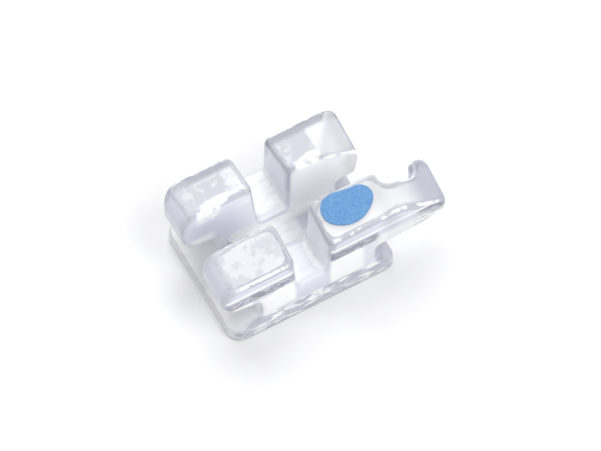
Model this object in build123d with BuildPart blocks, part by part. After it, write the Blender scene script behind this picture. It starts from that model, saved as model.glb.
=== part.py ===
"""Twin orthodontic bracket in clear polished ceramic, with a gingival hook and a painted mark.

Frame: the origin is the centre of the bonding base, +Z points away from the tooth, +X points
gingivally (the way the hook reaches) and the archwire slot runs nearly along Y. Millimetres.
Plan places are given as p, along X, and q, along the slot. The wing pair at +Y is the far
pair, the one at -Y, which carries the hook, is the near pair.
"""
from build123d import *
from math import cos, radians, sin, tan
import os

# Driving dimensions.
angulation = 4.0  # degrees by which the slot leans from square to the centre groove

base_length = 3.32  # along X
base_width = 2.70  # along Y
base_corner = 0.24  # plan radius of the base's corners
base_rim = 0.20  # height of the upright edge of the base
base_crown = 0.34  # height at which the pillars stand on the base
crown_ledge = 0.12  # ledge between a pillar's foot and the slope of the base

pad_land = 0.14  # width of the flat land around the bonding pad
pad_depth = 0.07
stud_width = 0.16  # retention studs on the roof of the pad, at their lower faces
stud_pitch = 0.27
stud_draft = 15  # degrees by which their sides draw in towards the roof

body_width = 2.60  # across the outer sides of the wings

slot_width = 0.56  # 0.022 inch archwire slot
slot_floor = 0.70
slot_draft = 4.0  # degrees on each wall
slot_root = 0.05  # radius at the foot of its walls

groove_width = 0.74  # centre groove between the wing pairs
groove_shift = -0.05  # its centre line, along Y
groove_floor = 0.58
groove_draft = 3.0  # degrees on each wall
groove_root = 0.08
web_set_in = 0.12  # how far the ends of its floor lie behind the pillars' sides
web_proud = 0.006  # how far the roots of its walls stand out from the wings' walls

wing_top = 1.66  # beside the groove
wing_slope = 12.0  # degrees by which the wings' tops fall towards the outer sides
wing_incisal = 1.80  # reach of the incisal wings from the slot's line
wing_gingival = 1.70  # reach of the near gingival wing
far_longer = 0.06  # how much further the far gingival wing reaches
incisal_overhang = 0.75  # of the incisal wings past their pillars
gingival_overhang = 0.42  # of the near gingival wing past its pillar
incisal_round = 0.30  # radius over the incisal tips
incisal_under = 0.76  # height of the incisal undercut's roof at the pillar
incisal_lip = 0.87  # height of the incisal tips' lower lip
gingival_under = 0.72  # height of the gingival undercut's roof
tip_bulge = 1.07  # height at which the tips reach furthest
incisal_set_in = 0.14  # how far the incisal lip lies behind that
gingival_set_in = 0.07  # how far the gingival lip lies behind it
bulge_round = 0.12  # radius along the bulge
undercut_root = 0.13  # radius at the root of the undercuts
lip_round = 0.10  # radius of the wings' lower lips
far_corner_incisal = 0.45  # plan radius of the far pair's incisal corner
far_corner_gingival = 0.18  # plan radius of its gingival corner

relief_near = 0.87  # from the far gingival tip back to its slanting relief, at the groove
relief_far = 0.10  # and at the outer side
relief_depth = 0.36  # its depth at the tip, beside the groove
relief_round = 0.60  # radius along its beginning
relief_tip = 0.12  # radius over the tip

hook_gap = 0.67  # clear length between the near gingival wing and the hook's head
hook_head = 0.37  # thickness of the head, along X
hook_tip = 0.93  # length of the head along Y, from the outer side
hook_neck = 0.58  # width of the hook's arm, along Y
hook_notch = 0.20  # radius of the notch behind the head
hook_round = 0.14  # plan radius of the head's corners
hook_level = 0.15  # how far past the wing the top begins to fall to the hook's end
hook_bend = 0.90  # radius of the top there
hook_end_high = 1.08  # height of the top at the end, on the outer side
hook_end_low = 0.93  # height of the underside at the end
hook_rising = 0.54  # length over which the underside rises to the end
hook_steep = 0.14  # length over which it rises most steeply
hook_rise = 31  # degrees by which it rises there

wing_edge = 0.08  # radius along the edges of the wings
slot_corner = 0.14  # radius of the wings' upright corners beside the slot
groove_corner = 0.10  # radius of the near gingival wing's corner beside the groove

mark_length = 1.00  # painted mark on the hooked wing, along X
mark_width = 0.66
mark_from_wing = 0.71  # from the wing's gingival end back to the mark's centre
mark_from_side = 0.50  # from the outer side to its centre
mark_paint = 0.03  # thickness of the paint
# Its uneven outline, in halves of its length and width about its centre.
mark_outline = (
    (-1.0, 0.1), (-0.75, 0.85), (-0.3, 1.0), (0.25, 0.82), (0.75, 0.7), (1.0, 0.1), (0.65, -0.68),
    (-0.1, -1.0), (-0.75, -0.6),
)

# Values worked out from the driving dimensions.
lean = radians(90 - angulation)
slot_line = Vector(cos(lean), sin(lean), 0)
square_line = Vector(sin(lean), -cos(lean), 0)
slot_axis = Axis((0, 0, 0), slot_line)
half_body = body_width / 2 / sin(lean)
half_base = base_width / 2 / sin(lean)
groove_low = (groove_shift - groove_width / 2) / sin(lean)
groove_high = (groove_shift + groove_width / 2) / sin(lean)
pillar_incisal = wing_incisal - incisal_overhang
pillar_gingival = wing_gingival - gingival_overhang
far_gingival = wing_gingival + far_longer
hook_inner = wing_gingival + hook_gap
hook_reach = hook_inner + hook_head
beyond = 1.0  # how far cutting shapes run past the body
fall = tan(radians(wing_slope))
end_rise = tan(radians(hook_rise))
whole = 2 * (hook_reach + beyond)  # more than the body's longest side


def plan(p, q):
    """A plan point from p along X and q along the slot."""
    return (p + q * cos(lean), q * sin(lean))


def slanted(p_low, p_high, q_low, q_high):
    """The corners of a plan shape with two sides along X and two along the slot."""
    return [plan(p_low, q_low), plan(p_high, q_low), plan(p_high, q_high), plan(p_low, q_high)]


def near(sketch, x, y):
    """The vertex of a sketch that lies nearest to a point of its plane."""
    return sketch.vertices().sort_by(lambda v: (v.X - x) ** 2 + (v.Y - y) ** 2)[0]


def on_top(side, p, q, drop=0):
    """A point on the tops of the wings of that side, or a drop below them."""
    edge = groove_high if side > 0 else groove_low
    return Vector(*plan(p, q), wing_top - fall * side * (q + p * cos(lean) - edge) - drop)


def upright_edges(part, p_low, p_high):
    """The long upright edges of a part between two places along X."""
    edges = part.edges().filter_by_position(Axis.X, p_low, p_high)
    return edges.filter_by(lambda e: abs((e % 0.5).Z) > 0.95 and e.length > slot_width / 2)


# The upright plane of the profiles, square to the slot and beyond the body.
profile_plane = Plane(origin=(*plan(0, -half_body - beyond), 0), x_dir=square_line, z_dir=-slot_line)


def wing_profile(*gingival):
    """Pillars, undercuts and wings seen along the slot; the gingival line is given from above."""
    over = wing_top + incisal_round
    lean_out = incisal_set_in / (tip_bulge - incisal_lip)
    lip = (-wing_incisal + incisal_set_in, incisal_lip)
    with BuildSketch(profile_plane) as profile:
        Polygon(
            (-pillar_incisal, base_crown / 2),
            (-pillar_incisal, incisal_under),
            lip,
            (-wing_incisal - lean_out * (over - tip_bulge), over),
            *gingival,
            (pillar_gingival, gingival_under),
            (pillar_gingival, base_crown / 2),
            align=None,
        )
        fillet(near(profile, -pillar_incisal, incisal_under), undercut_root)
        fillet(near(profile, pillar_gingival, gingival_under), undercut_root)
        fillet(near(profile, *lip), lip_round)
    return profile.sketch


def slot_profile():
    """The archwire slot seen along its line."""
    rise = wing_top + beyond - slot_floor
    flare = rise * tan(radians(slot_draft))
    with BuildSketch(profile_plane) as profile:
        Polygon(
            (-slot_width / 2, slot_floor),
            (slot_width / 2, slot_floor),
            (slot_width / 2 + flare, slot_floor + rise),
            (-slot_width / 2 - flare, slot_floor + rise),
            align=None,
        )
        fillet(profile.vertices().group_by(Axis.Y)[0], slot_root)
    return profile.sketch


def groove_profile(end):
    """The centre groove seen along X, at one end of it."""
    drop = tan(radians(groove_draft))
    half_floor = groove_width / 2 - (wing_top - groove_floor) * drop - web_proud
    half_mouth = groove_width / 2 + beyond * drop - web_proud
    with BuildSketch(Plane.YZ.offset(end)) as profile:
        Polygon(
            (groove_shift - half_floor, groove_floor),
            (groove_shift + half_floor, groove_floor),
            (groove_shift + half_mouth, wing_top + beyond),
            (groove_shift - half_mouth, wing_top + beyond),
            align=None,
        )
        fillet(profile.vertices().group_by(Axis.Y)[0], groove_root)
    return profile.sketch


def groove_wall(side, end):
    """What lies on the groove's side of a wing pair, seen along X."""
    drop = side * tan(radians(groove_draft))
    wall = groove_shift + side * groove_width / 2
    with BuildSketch(Plane.YZ.offset(end)) as profile:
        Polygon(
            (wall - wing_top * drop, 0),
            (wall + beyond * drop, wing_top + beyond),
            (-side * body_width, wing_top + beyond),
            (-side * body_width, 0),
            align=None,
        )
    return profile.sketch


def top_plane(side):
    """The plane square to the fall of a wing's top, set where the top meets the groove."""
    edge = groove_high if side > 0 else groove_low
    falling = slot_line * side - Vector(0, 0, fall)
    return Plane(origin=(*plan(0, edge), wing_top), x_dir=square_line, z_dir=falling * -side)


def incisal_top(side):
    """What lies above an incisal wing and past its tip, seen along the fall of its top."""
    with BuildSketch(top_plane(side)) as profile:
        Polygon(
            (-wing_incisal, slot_floor - wing_top),
            (-wing_incisal, 0),
            (0, 0),
            (0, 2 * beyond),
            (-wing_incisal - beyond, 2 * beyond),
            (-wing_incisal - beyond, slot_floor - wing_top),
            align=None,
        )
        fillet(near(profile, -wing_incisal, 0), incisal_round)
    return profile.sketch


def corner_cut(tip, radius, way):
    """What lies outside a far corner of plan radius given, at a tip that reaches the way given."""
    with BuildSketch() as outside:
        with Locations(plan(tip - way * 0.95 * radius, half_body - radius)):
            Rectangle(2 * radius, 2 * radius, align=(Align.MIN if way > 0 else Align.MAX, Align.MIN))
            Circle(radius, mode=Mode.SUBTRACT)
    return outside.sketch


# Far wing pair.
with BuildPart() as far_pair:
    gingival_lip = (far_gingival - gingival_set_in, gingival_under)
    lean_out = gingival_set_in / (tip_bulge - gingival_under)
    over = wing_top + incisal_round
    extrude(
        wing_profile((far_gingival + lean_out * (over - tip_bulge), over), gingival_lip),
        amount=whole,
        dir=slot_line,
    )
    fillet(far_pair.edges().filter_by(slot_axis).sort_by_distance(
        (*plan(gingival_lip[0], 0), gingival_under))[0], lip_round)
    with BuildSketch() as far_plan:
        Polygon(*slanted(-whole, whole, groove_shift, half_body), align=None)
    extrude(amount=over, mode=Mode.INTERSECT)
    extrude(corner_cut(-wing_incisal, far_corner_incisal, -1), amount=over, mode=Mode.SUBTRACT)
    extrude(corner_cut(far_gingival, far_corner_gingival, 1), amount=over, mode=Mode.SUBTRACT)
    extrude(incisal_top(1), amount=whole, both=True, mode=Mode.SUBTRACT)
    with BuildSketch(top_plane(1)) as far_top:
        Polygon(
            (0, 0),
            (far_gingival, 0),
            (far_gingival, slot_floor - wing_top),
            (hook_reach + beyond, slot_floor - wing_top),
            (hook_reach + beyond, 2 * beyond),
            (0, 2 * beyond),
            align=None,
        )
    extrude(amount=whole, both=True, mode=Mode.SUBTRACT)
    fillet(far_pair.edges().filter_by(slot_axis).filter_by_position(
        Axis.Z, tip_bulge - bulge_round / 9, tip_bulge + bulge_round / 9), bulge_round)

    # Slanting relief over the gingival wing.
    relief_start = on_top(1, far_gingival - relief_near, groove_high)
    relief_end = on_top(1, far_gingival - relief_far, half_body)
    relief_low = on_top(1, far_gingival, groove_high, relief_depth)
    crease = (relief_end - relief_start).normalized()
    relief_plane = Plane(relief_start, x_dir=crease, z_dir=(relief_low - relief_start).cross(crease))
    with BuildSketch(relief_plane) as relief:
        Rectangle(whole, body_width / 2, align=(Align.CENTER, Align.MAX))
    extrude(amount=beyond, mode=Mode.SUBTRACT)
    fillet(far_pair.edges().filter_by(Axis((0, 0, 0), crease)).group_by(Axis.Z)[-1], relief_round)
    relief_face = far_pair.faces().sort_by_distance((relief_end + relief_low + relief_start) / 3)[0]
    fillet(relief_face.edges().filter_by(GeomType.LINE).sort_by(Axis.X)[-1], relief_tip)

    extrude(slot_profile(), amount=whole, dir=slot_line, mode=Mode.SUBTRACT)
    extrude(groove_wall(1, -whole), amount=2 * whole, mode=Mode.SUBTRACT)
    fillet(upright_edges(far_pair, -slot_width, slot_width), slot_corner)
    outer_wall = far_pair.faces().filter_by(Plane.XZ).sort_by(Axis.Y)[-1]
    fillet(outer_wall.edges().filter_by_position(Axis.Z, base_crown, wing_top), wing_edge)

# Near wing pair, with the hook.
with BuildPart() as near_pair:
    end_over = (hook_reach + beyond, wing_top + incisal_round)
    end_low = (hook_reach + beyond, hook_end_low + beyond * end_rise)
    steep = (hook_reach - hook_steep, hook_end_low - hook_steep * end_rise)
    rising = (hook_reach - hook_rising, gingival_under + undercut_root / 4)
    with BuildSketch(profile_plane) as near_profile:
        add(wing_profile(end_over, end_low, steep, rising))
        fillet(near(near_profile, *rising), hook_bend / 2)
        fillet(near(near_profile, *steep), hook_bend / 3)
    extrude(amount=whole, dir=slot_line)
    neck = -half_body + hook_neck
    head = -half_body + hook_tip
    with BuildSketch() as near_plan:
        Polygon(
            plan(-whole, -half_body),
            plan(hook_reach, -half_body),
            plan(hook_reach, head),
            plan(hook_inner, head),
            plan(hook_inner, neck),
            plan(wing_gingival, neck),
            plan(wing_gingival, groove_shift),
            plan(-whole, groove_shift),
            align=None,
        )
        fillet(near(near_plan, *plan(hook_inner, neck)), hook_notch)
        fillet(near(near_plan, *plan(wing_gingival, neck)), 0.85 * hook_notch)
        fillet(near(near_plan, *plan(hook_reach, -half_body)), hook_round)
        fillet(near(near_plan, *plan(hook_reach, head)), 1.2 * hook_round)
        fillet(near(near_plan, *plan(hook_inner, head)), hook_round)
    extrude(amount=wing_top + beyond, mode=Mode.INTERSECT)
    extrude(incisal_top(-1), amount=whole, both=True, mode=Mode.SUBTRACT)
    hook_fall = on_top(-1, hook_reach, -half_body).Z - hook_end_high
    bend = wing_gingival + hook_level
    hook_slope = hook_fall * cos(radians(wing_slope)) / (hook_reach - bend)
    with BuildSketch(top_plane(-1)) as near_top:
        Polygon(
            (0, 0),
            (bend, 0),
            (hook_reach + beyond, (bend - hook_reach - beyond) * hook_slope),
            (hook_reach + beyond, 2 * beyond),
            (0, 2 * beyond),
            align=None,
        )
        fillet(near(near_top, bend, 0), hook_bend)
    extrude(amount=whole, both=True, mode=Mode.SUBTRACT)
    fillet(near_pair.edges().filter_by(slot_axis).filter_by_position(
        Axis.Z, tip_bulge - bulge_round / 9, tip_bulge + bulge_round / 9), bulge_round)
    extrude(slot_profile(), amount=whole, dir=slot_line, mode=Mode.SUBTRACT)
    groove_end = (wing_gingival + hook_inner) / 2
    extrude(groove_wall(-1, -whole), amount=whole + groove_end, mode=Mode.SUBTRACT)
    fillet(upright_edges(near_pair, -slot_width, slot_width), slot_corner)
    groove_side = upright_edges(near_pair, wing_gingival - hook_notch, wing_gingival + hook_notch)
    fillet(groove_side.sort_by(Axis.Y)[-1], groove_corner)
    outer_wall = near_pair.faces().filter_by(Plane.XZ).sort_by(Axis.Y)[0]
    fillet(outer_wall.edges().filter_by_position(Axis.Z, base_crown, wing_top), wing_edge)

# Bracket body: bonding base, web under the centre groove and the two wing pairs.
with BuildPart() as body:
    rim_corners = slanted(-base_length / 2, base_length / 2, -half_base, half_base)
    with BuildSketch() as rim_plan:
        Polygon(*rim_corners, align=None)
        fillet(rim_plan.vertices(), base_corner)
    extrude(amount=base_rim)
    with BuildSketch(Plane.XY.offset(base_rim)) as crown_foot:
        add(rim_plan.sketch)
    with BuildSketch(Plane.XY.offset(base_crown)) as crown_plan:
        ledge_low = -pillar_incisal - crown_ledge
        ledge_high = pillar_gingival + crown_ledge
        Polygon(*slanted(ledge_low, ledge_high, -half_body, half_body), align=None)
        fillet(crown_plan.vertices(), base_corner / 2)
    loft()
    with BuildSketch(Plane.XY.offset(base_crown / 2)) as web_plan:
        Polygon(*slanted(-pillar_incisal + web_set_in, pillar_gingival - web_set_in,
                         groove_low - groove_root, groove_high + groove_root), align=None)
    extrude(amount=groove_floor + groove_root - base_crown / 2)
    extrude(groove_profile(-whole), amount=2 * whole, mode=Mode.SUBTRACT)
    add(far_pair.part)
    add(near_pair.part)

    # Bonding pad: a shallow pocket within the land, with rows of dovetail studs on its roof.
    with BuildSketch() as pad_plan:
        offset(rim_plan.sketch, -pad_land)
    extrude(amount=pad_depth, mode=Mode.SUBTRACT)
    rows = 2 * int((base_length / 2 - pad_land - stud_width / 2) / stud_pitch) + 1
    files = 2 * int((base_width / 2 - pad_land - stud_width / 2) / stud_pitch) + 1
    stud_places = [
        plan((i - (rows - 1) / 2) * stud_pitch, (j - (files - 1) / 2) * stud_pitch)
        for i in range(rows)
        for j in range(files)
    ]
    with BuildSketch() as stud_plan:
        with Locations(*stud_places):
            Rectangle(stud_width, stud_width)
    extrude(amount=base_rim / 2, taper=stud_draft)

# Painted mark: a thin film on the top of the hooked wing.
with BuildPart() as mark:
    mark_p = wing_gingival - mark_from_wing
    mark_q = -half_body + mark_from_side
    mark_points = [
        plan(mark_p + u * mark_length / 2, mark_q + v * mark_width / 2) for u, v in mark_outline
    ]
    with BuildSketch(Plane.XY.offset(tip_bulge)) as mark_plan:
        with BuildLine() as mark_line:
            Spline(*mark_points, periodic=True)
        make_face()
    extrude(amount=wing_top)
    across_top = Vector(0, -sin(radians(wing_slope)), cos(radians(wing_slope)))
    add(near_pair.part.moved(Location(across_top * mark_paint)), mode=Mode.INTERSECT)
    add(near_pair.part, mode=Mode.SUBTRACT)

body.part.label = "bracket_body"
mark.part.label = "id_dot"
os.makedirs("parts", exist_ok=True)
export_step(body.part, "parts/bracket_body.step")
export_step(mark.part, "parts/id_dot.step")
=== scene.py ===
"""Clear ceramic twin bracket with its hook and painted mark, on a white table.

The frame's solids give every shape: the ceramic body is a smoothed copy of its node, and the
mark is its own node with new paint on it. Lengths are millimetres here, and MM turns them
into Blender's metres.
"""

import bpy
import numpy as np
from mathutils import Matrix, Vector


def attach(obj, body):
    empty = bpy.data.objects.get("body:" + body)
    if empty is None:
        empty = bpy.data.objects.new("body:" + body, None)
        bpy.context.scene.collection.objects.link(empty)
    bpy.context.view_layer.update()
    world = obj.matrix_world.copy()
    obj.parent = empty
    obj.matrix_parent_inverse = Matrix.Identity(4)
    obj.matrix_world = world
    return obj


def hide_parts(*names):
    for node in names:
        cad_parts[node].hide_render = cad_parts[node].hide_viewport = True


MM = 0.001

# Camera: the photograph's direction, fitted on the bracket's own edges.
AZIMUTH, ELEVATION, ROLL = -28.5, 55.0, 2.5  # degrees
PIXELS_PER_MM = 57.2
IMAGE_WIDTH, IMAGE_HEIGHT = 601, 451
ORIGIN_PIXEL = (281.0, 249.0)  # where the centre of the bonding base lies in the image
CAMERA_DISTANCE = 20.0
NEAREST_SEEN, FARTHEST_SEEN = 0.1, 1000.0

# Skin of the ceramic body. More passes find wider roundings, and the depth is that of a full one.
WELD_DISTANCE = 0.0001
VOXEL = 0.025
SMOOTHING_PASSES = 6
EDGE_PASSES, EDGE_DEPTH = 11, 0.03
BAND_PASSES, BAND_DEPTH = 47, 0.07

# Table and light. A lamp has a strength, its disc's width in degrees and where it shines to.
FLOOR_HALF_WIDTH, FLOOR_GAP = 60.0, 0.002
FLOOR_TONE = (0.885, 0.885, 0.885, 1)
FLOOR_GLOW = 0.12  # the share of the floor's light that is its own
SKY, SKY_STRENGTH = (0.95, 0.95, 0.965, 1), 0.56
PURE_WHITE = (1, 1, 1, 1)
LAMPS = {
    "key": (1.75, 56, (-0.22, -0.64, -0.74)),
    "fill": (1.3, 60, (-0.15, 0.8, -0.30)),
    "spark": (0.65, 24, (-0.27, 0.46, -0.85)),
}

# Colours of the ceramic and of the paint.
WALL, WALL_LIGHT = (0.63, 0.64, 0.72, 1), (0.71, 0.72, 0.80, 1)
# The far wing tops' colour is a darker copy of the near tops' colour: painted shade.
PANEL, FAR_PANEL_SHADED = (0.66, 0.66, 0.70, 1), (0.48, 0.485, 0.535, 1)
PANEL_MOTTLE = (0.90, 0.90, 0.915, 1)
# The inner walls' colour in a lit and a shaded copy: painted light and shade.
INNER_LIT, INNER_SHADED = (0.94, 0.95, 1.0, 1), (0.68, 0.69, 0.78, 1)
# White is laid on mostly as painted light; lavender and dark partly as painted shade.
WHITE = (0.98, 0.98, 0.985, 1)
LAVENDER = (0.42, 0.425, 0.50, 1)
HOOK = (0.43, 0.44, 0.53, 1)
DARK = (0.13, 0.13, 0.18, 1)
GLASS = (0.93, 0.935, 0.965, 1)
PAINT, PAINT_LIGHT = (0.085, 0.24, 0.49), (0.125, 0.305, 0.57)

# How finely each noise is drawn, in swells to the metre.
CLOUDS, GRAINS, PATCHES, HOLES, HATCHING, STREAKS, PAINT_SPECKS = (
    1500.0, 6500.0, 2400.0, 7500.0, 13000.0, 9500.0, 16000.0
)

# A face counts as facing one way as that part of its normal rises through this span.
FACING = (0.75, 0.92)
FACING_UP = (0.8, 0.95)

SLOT_LEAN = 0.07  # how far the archwire slot runs along X for each millimetre of Y
REFRACTIVE_INDEX = 1.5


class Value:
    """A shader socket; + - * / on it add Math nodes."""

    def __init__(self, graph, socket):
        self.graph = graph
        self.socket = socket

    def _math(self, operation, *values):
        return self.graph.node("ShaderNodeMath", {"operation": operation}, *values)

    def __add__(self, other):
        return self._math("ADD", self, other)

    def __sub__(self, other):
        return self._math("SUBTRACT", self, other)

    def __mul__(self, other):
        return self._math("MULTIPLY", self, other)

    def __truediv__(self, other):
        return self._math("DIVIDE", self, other)

    def __rsub__(self, other):
        return self._math("SUBTRACT", other, self)

    def __rtruediv__(self, other):
        return self._math("DIVIDE", other, self)

    __radd__ = __add__
    __rmul__ = __mul__


class Graph:
    """A material's or the world's nodes."""

    def __init__(self, owner):
        owner.use_nodes = True
        self.tree = owner.node_tree
        self.tree.nodes.clear()

    def node(self, kind, settings, *values, out=0, **named):
        """Adds a node: its settings first, then the values or links of its inputs."""
        made = self.tree.nodes.new(kind)
        for name, setting in settings.items():
            if name == "stops":
                for element, (place, tone) in zip(made.color_ramp.elements, setting):
                    element.position = place
                    element.color = (*tone, 1)
            else:
                setattr(made, name, setting)
        for key, value in [*enumerate(values), *named.items()]:
            self.feed(made.inputs[key.replace("_", " ") if isinstance(key, str) else key], value)
        return Value(self, made.outputs[out]) if made.outputs else None

    def feed(self, socket, value):
        """Links a value to a socket, sets a constant on it, or leaves it alone for None."""
        if isinstance(value, Value):
            self.tree.links.new(value.socket, socket)
        elif value is not None:
            socket.default_value = value

    def ramp(self, factor, *stops):
        """A colour that eases from one stop to the next."""
        made = self.node("ShaderNodeValToRGB", {"stops": stops}, factor)
        made.socket.node.color_ramp.interpolation = "EASE"
        return made

    def parts(self, vector):
        """The x, y and z of a vector."""
        return [self.node("ShaderNodeSeparateXYZ", {}, vector, out=i) for i in range(3)]

    def noise(self, place, scale, detail=2.0):
        """Soft swells with a share of finer ones, the finer the higher the detail."""
        return self.node("ShaderNodeTexNoise", {}, Vector=place, Scale=scale, Detail=detail)

    def step(self, value, start, end):
        """0 at the start, 1 at the end and smooth between; the end may be the lesser of them."""
        low, high = (0.0, 1.0) if start < end else (1.0, 0.0)
        settings = {"interpolation_type": "SMOOTHSTEP"}
        first, last = sorted((start, end))
        return self.node("ShaderNodeMapRange", settings, value, first, last, low, high)

    def between(self, value, start, full, fading, end):
        """0 at the start, 1 from full to fading and 0 again at the end."""
        return self.step(value, start, full) * self.step(value, end, fading)

    def absolute(self, value):
        """The value without its sign."""
        return self.node("ShaderNodeMath", {"operation": "ABSOLUTE"}, value)

    def most(self, one, other):
        """The greater of two values."""
        return self.node("ShaderNodeMath", {"operation": "MAXIMUM"}, one, other)

    def mix(self, factor, low, high):
        """A colour between two colours; five sockets for other kinds lie before theirs."""
        others = [None] * 5
        settings = {"data_type": "RGBA"}
        return self.node("ShaderNodeMix", settings, factor, *others, low, high, out=2)

    def mix_shaders(self, factor, low, high):
        """A shader between two shaders."""
        return self.node("ShaderNodeMixShader", {}, factor, low, high)


def view_axes():
    """The camera's right, up and backward directions."""
    azimuth, elevation, roll = np.radians((AZIMUTH, ELEVATION, ROLL))
    right = np.array((np.cos(azimuth), np.sin(azimuth), 0))
    away = np.array((-np.sin(azimuth), np.cos(azimuth), 0))
    up = away * np.sin(elevation) + np.array((0, 0, np.cos(elevation)))
    turned_right = right * np.cos(roll) - up * np.sin(roll)
    turned_up = right * np.sin(roll) + up * np.cos(roll)
    return turned_right, turned_up, np.cross(turned_right, turned_up)


def make_camera():
    """An orthographic camera whose frame puts the origin at its pixel."""
    right, up, back = view_axes()
    aside = (IMAGE_WIDTH / 2 - ORIGIN_PIXEL[0]) / PIXELS_PER_MM
    above = (ORIGIN_PIXEL[1] - IMAGE_HEIGHT / 2) / PIXELS_PER_MM
    data = bpy.data.cameras.new("camera")
    data.type = "ORTHO"
    data.ortho_scale = IMAGE_WIDTH / PIXELS_PER_MM * MM
    data.clip_start = NEAREST_SEEN * MM
    data.clip_end = FARTHEST_SEEN * MM
    camera = bpy.data.objects.new("camera", data)
    matrix = np.eye(4)
    matrix[:3, :3] = np.stack((right, up, back), axis=1)
    matrix[:3, 3] = (right * aside + up * above + back * CAMERA_DISTANCE) * MM
    camera.matrix_world = Matrix(matrix.tolist())
    bpy.context.scene.collection.objects.link(camera)
    bpy.context.scene.camera = camera


def smoothed_copy(node, name, voxel, passes):
    """The node's mesh, merged, remeshed evenly and smoothed, as one closed skin."""
    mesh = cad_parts[node].data.copy()
    piece = bpy.data.objects.new(name, mesh)
    bpy.context.scene.collection.objects.link(piece)
    weld = piece.modifiers.new("weld", "WELD")
    weld.merge_threshold = WELD_DISTANCE * MM
    remesh = piece.modifiers.new("remesh", "REMESH")
    remesh.mode = "VOXEL"
    remesh.voxel_size = voxel * MM
    smooth = piece.modifiers.new("smooth", "SMOOTH")
    smooth.factor = 0.5
    smooth.iterations = passes
    depsgraph = bpy.context.evaluated_depsgraph_get()
    finished = bpy.data.meshes.new_from_object(piece.evaluated_get(depsgraph))
    piece.modifiers.clear()
    piece.data = finished
    finished.polygons.foreach_set("use_smooth", np.ones(len(finished.polygons), bool))
    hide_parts(node)
    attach(piece, "root")
    return piece


def write_edges(piece, name, passes, depth):
    """Stores how far each vertex stands out from its smoothed surroundings, over a depth.

    The surroundings are the mean of a vertex's neighbours, taken again for each pass. The
    value is 1 on a convex edge, 0 on a flat face and -1 in a crease.
    """
    mesh = piece.data
    count = len(mesh.vertices)
    points = np.empty(count * 3, np.float32)
    mesh.vertices.foreach_get("co", points)
    points = points.reshape(-1, 3) / MM
    normals = np.empty(count * 3, np.float32)
    mesh.vertex_normals.foreach_get("vector", normals)
    ends = np.empty(len(mesh.edges) * 2, np.int32)
    mesh.edges.foreach_get("vertices", ends)
    one, other = ends.reshape(-1, 2).T
    shared = np.bincount(one, minlength=count) + np.bincount(other, minlength=count)
    calm = points.astype(np.float64)
    for _ in range(passes):
        total = [
            np.bincount(one, calm[other, i], count) + np.bincount(other, calm[one, i], count)
            for i in range(3)
        ]
        calm = np.stack(total, axis=1) / shared[:, None]
    proud = ((points - calm) * normals.reshape(-1, 3)).sum(axis=1) / depth
    layer = mesh.attributes.new(name, "FLOAT", "POINT")
    layer.data.foreach_set("value", np.clip(proud, -1, 1).astype(np.float32))


class Spot:
    """A point of the ceramic: where it lies, how it faces, its noises, its own markings and its
    painted highlights.

    The numbers in its masks, and in those of the tints below, are millimetres on the bracket:
    y across it, z up from the base and reach gingivally from the slot's middle line. For a
    noise, a facing or an edge they are shares.
    """

    def __init__(self, g):
        place = g.node("ShaderNodeTexCoord", {}, out=3)
        x, self.y, self.z = (length / MM for length in g.parts(place))
        self.reach = x - self.y * SLOT_LEAN
        self.off_slot = g.absolute(self.reach)
        self.off_middle = g.absolute(self.y)
        self.onward, aside, self.upward = g.parts(g.node("ShaderNodeTexCoord", {}, out=1))
        self.aside = g.absolute(aside)
        self.edge, self.band = (
            g.node("ShaderNodeAttribute", {"attribute_name": name}, out=2)
            for name in ("edge", "band")
        )
        self.wall = g.step(self.aside, *FACING)
        self.outer = self.wall * g.step(self.off_middle, 1.2, 1.26)
        self.slot_wall = g.step(g.absolute(self.onward), *FACING)
        self.slot_wall *= g.step(self.off_slot, 0.55, 0.45)
        self.add_noises(g, place)
        self.add_overhangs(g)
        self.add_specks(g)
        self.add_painted_glints(g)

    def add_noises(self, g, place):
        """Clouds, grain, torn patches, hatching and streaks, and a sway for uneven borders."""
        self.cloud = g.noise(place, CLOUDS, detail=3.0)
        self.grain = g.noise(place, GRAINS)
        holes = g.step(g.noise(place, HOLES), 0.53, 0.60) * 0.55
        self.patches = g.step(g.noise(place, PATCHES), 0.43, 0.49) * (1 - holes)
        flat = g.node("ShaderNodeMapping", {}, place, Scale=(0.5, 0.5, 1.8))
        self.hatch = g.noise(flat, HATCHING)
        drawn = g.node("ShaderNodeMapping", {}, place, Scale=(0.4, 1.0, 1.8))
        self.streaks = g.noise(drawn, STREAKS, detail=3.0)
        self.sway = (self.cloud - 0.5) * 0.35

    def add_overhangs(self, g):
        """What lies low under the incisal wings' tips and from the gingival wings' ends on; its
        walls are painted white as light showing through.
        """
        swayed = self.reach + self.sway
        incisal = g.step(swayed, -1.1, -1.25) * g.step(self.reach, -1.75, -1.55)
        ends = g.most(incisal, g.step(swayed, 1.28, 1.38))
        self.low = ends * g.step(self.z + self.sway * 0.5, 1.12, 0.98) * g.step(self.z, 0.6, 0.7)

    def add_specks(self, g):
        """A strip under the wings' outer edges, and the dark specks in it."""
        self.strip = self.outer * g.between(self.z, 0.94, 1.0, 1.12, 1.2)
        self.strip *= g.step(self.reach, 1.4, 1.25)
        self.specks = self.strip * g.step(self.hatch + self.cloud * 0.3, 0.57, 0.66)

    def add_painted_glints(self, g):
        """Painted highlights: broken white patches on the roundings beside the groove and on the
        far wings' edges.
        """
        rounding = g.between(self.aside, 0.15, 0.4, 0.85, 0.97) * g.step(self.edge, 0.15, 0.4)
        inner_edge = g.step(self.y, 0.28, 0.32) * g.step(self.y + self.sway * 0.5, 0.58, 0.50)
        inner_edge *= g.step(self.z, 1.38, 1.44) * g.step(self.reach + self.sway, 1.15, 1.0)
        along = g.most(rounding * g.step(self.z, 1.1, 1.2), inner_edge)
        along *= g.step(self.off_slot, 0.42, 0.5) * g.step(self.reach, -1.6, -1.4)
        self.painted_glints = along * self.patches


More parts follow.
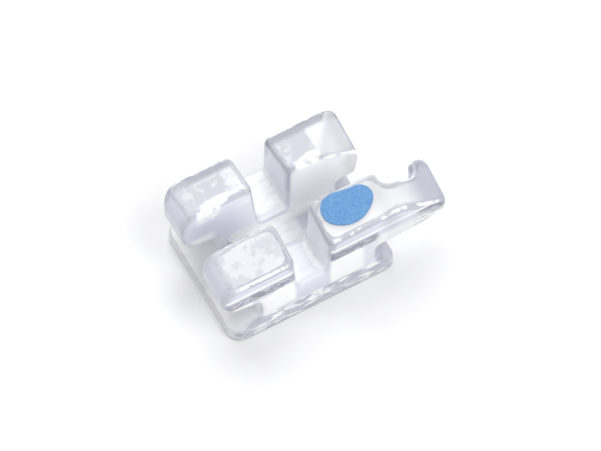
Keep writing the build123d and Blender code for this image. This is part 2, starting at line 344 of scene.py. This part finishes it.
def tint_tops(g, at, tint):
    """Mottled panels on the wing tops with painted light and shade: the far tops darker and
    partly lighter for how light falls on them, lavender borders and a dark far edge of painted
    shade, and a grey hook.

    Each tint takes the graph, the spot and the tint so far, and lays its colours over that.
    """
    top = g.step(at.upward, *FACING_UP) * g.step(at.z, 1.0, 1.2)
    far = g.step(at.y, 0.1, 0.3)
    gingival = g.step(at.reach, 1.02, 1.12)
    # Painted light: on the far tops, the gingival wing's end and the middle of the incisal wing
    # take the near tops' lighter colour, and the gingival end is partly white.
    paler = g.most(gingival, g.between(at.reach, -0.75, -0.62, -0.1, 0.0))
    tint = g.mix(top * 0.8, tint, g.mix(far * (1 - paler), PANEL, FAR_PANEL_SHADED))
    marked = g.step(at.y, -0.1, -0.3) * g.step(at.reach, 0.2, 0.4)
    tint = g.mix(top * g.most(marked * 0.70, far * gingival * 0.6), tint, WHITE)
    mottle = g.step(at.cloud + (at.grain - 0.5) * 0.8, 0.44, 0.58) * (0.5 - far * 0.15)
    tint = g.mix(top * g.step(at.band, 0.30, 0.16) * mottle, tint, PANEL_MOTTLE)
    # Painted shade: lavender bands along the tops' rounded edges, weaker towards the incisal
    # ends.
    shaded_border = g.step(at.band, 0.2, 0.35) * g.step(at.z, 0.9, 1.2)
    tint = g.mix(shaded_border * (0.75 - g.step(at.reach, -1.1, -1.5) * 0.45), tint, LAVENDER)
    # Painted shade: the far edges of the tops are laid over in lavender, and darker towards the
    # incisal end.
    shaded_far_edge = g.step(at.y, 1.0, 1.15) * g.step(at.z, 1.1, 1.3)
    tint = g.mix(shaded_far_edge * 0.95, tint, LAVENDER)
    tint = g.mix(shaded_far_edge * g.step(at.reach, -1.6, -1.1) * 0.45, tint, DARK)
    tint = g.mix(g.step(at.reach, 2.0, 2.45) * 0.8, tint, HOOK)
    # Painted shade: a broken dark line just inside the panels' edges.
    shaded_ring = top * g.between(at.band, 0.16, 0.24, 0.30, 0.40)
    tint = g.mix(shaded_ring * g.step(at.grain, 0.35, 0.6) * 0.3, tint, DARK)
    slanting = top * g.step(at.onward, 0.12, 0.2) * g.step(at.reach, 1.75, 1.7)
    return g.mix(slanting * 0.8, tint, PANEL)


def tint_inside(g, at, tint):
    """Painted light inside: the groove's and the slot's walls are lightened against their shade,
    with a shaded copy towards the incisal end, and their floors and roots streaked with painted
    white light.
    """
    # Painted light: the walls round the groove and the slot are lightened where they lie in
    # shade, with a dimmer copy towards the incisal end.
    near_slot = at.slot_wall * g.step(at.y, -0.4, -0.5)
    lifted_inner_wall = g.most(at.wall * g.step(at.off_middle, 1.0, 0.8), near_slot * 0.7)
    lit_or_shaded_inner = g.mix(g.step(at.reach, -1.9, 0.4), INNER_SHADED, INNER_LIT)
    tint = g.mix(lifted_inner_wall * 0.95, tint, lit_or_shaded_inner)
    far_slot = at.slot_wall * g.step(at.y, 0.3, 0.4)
    tint = g.mix(far_slot * 0.45, tint, INNER_LIT)
    # Painted light: the recess low under the incisal wings is lightened.
    under = g.step(at.reach, -0.95, -1.1) * g.step(at.z, 0.85, 0.72) * g.step(at.y, -1.27, -1.2)
    tint = g.mix(under * 0.95, tint, INNER_LIT)
    # Painted light: white streaks along the creases and on the slot's floors.
    root = g.step(at.band, -0.06, -0.22) * g.step(at.z, 0.4, 0.5) * 0.8
    floor = g.step(at.upward, *FACING_UP) * g.between(at.z, 0.5, 0.56, 0.8, 0.9)
    floor *= g.step(at.off_slot, 0.4, 0.3) * (0.35 + g.step(at.y, -0.45, -0.3) * 0.4)
    streaked = g.step(at.streaks, 0.33, 0.53) * 0.45 + 0.55
    return g.mix(g.most(root, floor) * streaked, tint, WHITE)


def tint_outside(g, at, tint):
    """Painted light: white pillars and overhangs where light shows through, a painted highlight
    line over dark specks, and a streaked slope below.
    """
    # Painted light: the pillars' outer walls are painted white where light shows through them.
    lit_pillar = at.outer * g.between(at.z + at.sway, 0.30, 0.42, 0.92, 1.02)
    lit_pillar *= g.step(at.reach, -1.15, -1.0) * g.step(at.off_slot, 0.30, 0.40)
    lit_pillar *= 1 - g.between(at.reach, 0.95, 1.1, 1.4, 1.5) * 0.8
    # Painted highlight: a thin white line under the wings' outer top edges.
    line = at.outer * g.between(at.z, 1.19, 1.21, 1.24, 1.26)
    # Painted light: white on the pillars' walls, the walls under the overhangs, the highlight
    # line and the glint patches.
    bright = g.most(g.most(g.most(lit_pillar, at.wall * at.low), line), at.painted_glints)
    tint = g.mix(bright * (0.9 + at.grain * 0.1), tint, WHITE)
    tint = g.mix(at.strip * 0.55, tint, LAVENDER)
    slope = g.between(at.z, 0.02, 0.06, 0.34, 0.37) * g.step(at.off_middle, 1.24, 1.3)
    tint = g.mix(slope * g.step(at.streaks, 0.53, 0.59) * 0.9, tint, WHITE)
    tint = g.mix(slope * g.step(at.streaks, 0.53, 0.45) * 0.8, tint, LAVENDER)
    ledge = g.step(at.reach, -1.3, -1.45) * g.step(at.z, 0.5, 0.44) * g.step(at.upward, 0.7, 0.9)
    tint = g.mix(ledge * 0.5, tint, WHITE)
    corner = g.step(at.reach, 1.25, 1.45) * g.step(at.z, 0.45, 0.38)
    tint = g.mix(corner * 0.45, tint, LAVENDER)
    hook_tip = g.step(at.reach, 2.0, 2.2) * g.step(at.y, -1.0, -1.15) * g.step(at.z, 1.25, 1.15)
    hook_tip *= g.step(at.upward, 0.5, 0.3) * g.step(at.streaks, 0.55, 0.47)
    return g.mix(g.most(at.specks, hook_tip) * 0.65, tint, DARK)


def clearness(g, at):
    """How clear the ceramic is: a little on its edges, in the hook and low under its neck."""
    rounding = g.step(at.edge, 0.10, 0.55) * 0.25
    hook = g.step(at.reach, 1.30, 1.60) * g.step(at.z, 0.5, 0.9) * 0.25
    neck = at.low * g.step(at.reach, 1.2, 1.3) * g.step(at.y, 0.0, -0.2) * 0.15
    return g.most(g.most(rounding, hook), neck) * (1 - g.most(at.specks, at.painted_glints))


def clear_ceramic():
    """Polished alumina: milky inside, clearer where it is thin, with its markings and painted
    light and shade as a tint.
    """
    material = bpy.data.materials.new("clear_ceramic")
    g = Graph(material)
    at = Spot(g)
    tint = g.mix(at.cloud, WALL, WALL_LIGHT)
    for tint_part in (tint_tops, tint_inside, tint_outside):
        tint = tint_part(g, at, tint)
    swell = at.cloud + at.grain * 0.15
    bump = g.node("ShaderNodeBump", {}, Strength=0.35, Distance=0.02 * MM, Height=swell)
    milky = g.node(
        "ShaderNodeBsdfPrincipled",
        {},
        Base_Color=tint,
        Roughness=0.38,
        IOR=REFRACTIVE_INDEX,
        Transmission_Weight=0.15,
        Coat_Weight=0.5,
        Coat_Roughness=0.15,
        Subsurface_Weight=0.75,
        Subsurface_Radius=(1.0, 1.0, 1.0),
        Subsurface_Scale=0.55 * MM,
        Normal=bump,
    )
    glass = g.node(
        "ShaderNodeBsdfPrincipled",
        {},
        Base_Color=GLASS,
        Roughness=0.06,
        IOR=REFRACTIVE_INDEX,
        Transmission_Weight=0.95,
        Normal=bump,
    )
    g.node("ShaderNodeOutputMaterial", {}, g.mix_shaders(clearness(g, at), milky, glass))
    return material


def blue_paint():
    """Blue pad-printed paint, lighter and darker in small specks."""
    material = bpy.data.materials.new("mark_paint")
    g = Graph(material)
    speck = g.noise(g.node("ShaderNodeTexCoord", {}, out=3), PAINT_SPECKS)
    tone = g.ramp(speck, (0.30, PAINT), (0.75, PAINT_LIGHT))
    shader = g.node("ShaderNodeBsdfPrincipled", {}, Base_Color=tone, Roughness=0.45)
    g.node("ShaderNodeOutputMaterial", {}, shader)
    return material


def wear(piece, material):
    """Gives a piece this material alone."""
    piece.data.materials.clear()
    piece.data.materials.append(material)


def make_floor():
    """A wide pale table just below the bonding base, with a little light of its own."""
    sides = (-FLOOR_HALF_WIDTH, FLOOR_HALF_WIDTH)
    u, v = np.meshgrid(sides, sides)
    points = np.stack((u, v, np.full_like(u, -FLOOR_GAP)), axis=-1).reshape(-1, 3) * MM
    mesh = bpy.data.meshes.new("floor")
    mesh.from_pydata(points, [], [(0, 1, 3, 2)])
    floor = bpy.data.objects.new("floor", mesh)
    bpy.context.scene.collection.objects.link(floor)
    material = bpy.data.materials.new("floor")
    g = Graph(material)
    diffuse = g.node("ShaderNodeBsdfDiffuse", {}, FLOOR_TONE)
    glow = g.node("ShaderNodeEmission", {}, PURE_WHITE, 1.0)
    g.node("ShaderNodeOutputMaterial", {}, g.mix_shaders(FLOOR_GLOW, diffuse, glow))
    wear(floor, material)


def make_sky():
    """A pale surround that is pure white to the camera, in reflections and through glass."""
    world = bpy.data.worlds.new("studio")
    bpy.context.scene.world = world
    g = Graph(world)
    sky = g.node("ShaderNodeBackground", {}, SKY, SKY_STRENGTH)
    white = g.node("ShaderNodeBackground", {}, PURE_WHITE, 1.0)
    seen, mirrored, through = (g.node("ShaderNodeLightPath", {}, out=i) for i in (0, 3, 6))
    shown = g.most(seen, g.most(mirrored, through))
    g.node("ShaderNodeOutputWorld", {}, g.mix_shaders(shown, sky, white))


def make_lamps():
    """Wide lamps: one from behind, one from the front, and a smaller one from high in front."""
    for name, (strength, width, aim) in LAMPS.items():
        data = bpy.data.lights.new(name, "SUN")
        data.energy = strength
        data.angle = np.radians(width)
        lamp = bpy.data.objects.new(name, data)
        lamp.matrix_world = Vector(aim).to_track_quat("-Z", "Y").to_matrix().to_4x4()
        bpy.context.scene.collection.objects.link(lamp)


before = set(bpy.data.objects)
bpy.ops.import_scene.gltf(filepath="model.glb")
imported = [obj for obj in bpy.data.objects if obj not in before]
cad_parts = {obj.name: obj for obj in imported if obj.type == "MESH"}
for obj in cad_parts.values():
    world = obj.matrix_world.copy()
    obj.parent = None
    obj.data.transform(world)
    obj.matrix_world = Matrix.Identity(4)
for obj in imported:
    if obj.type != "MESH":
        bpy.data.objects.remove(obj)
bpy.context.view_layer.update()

make_camera()
shell = smoothed_copy("bracket_body", "bracket_shell", VOXEL, SMOOTHING_PASSES)
write_edges(shell, "edge", EDGE_PASSES, EDGE_DEPTH)
write_edges(shell, "band", BAND_PASSES, BAND_DEPTH)
wear(shell, clear_ceramic())
wear(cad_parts["id_dot"], blue_paint())
make_floor()
make_sky()
make_lamps()

bpy.context.scene.view_settings.view_transform = "Standard"
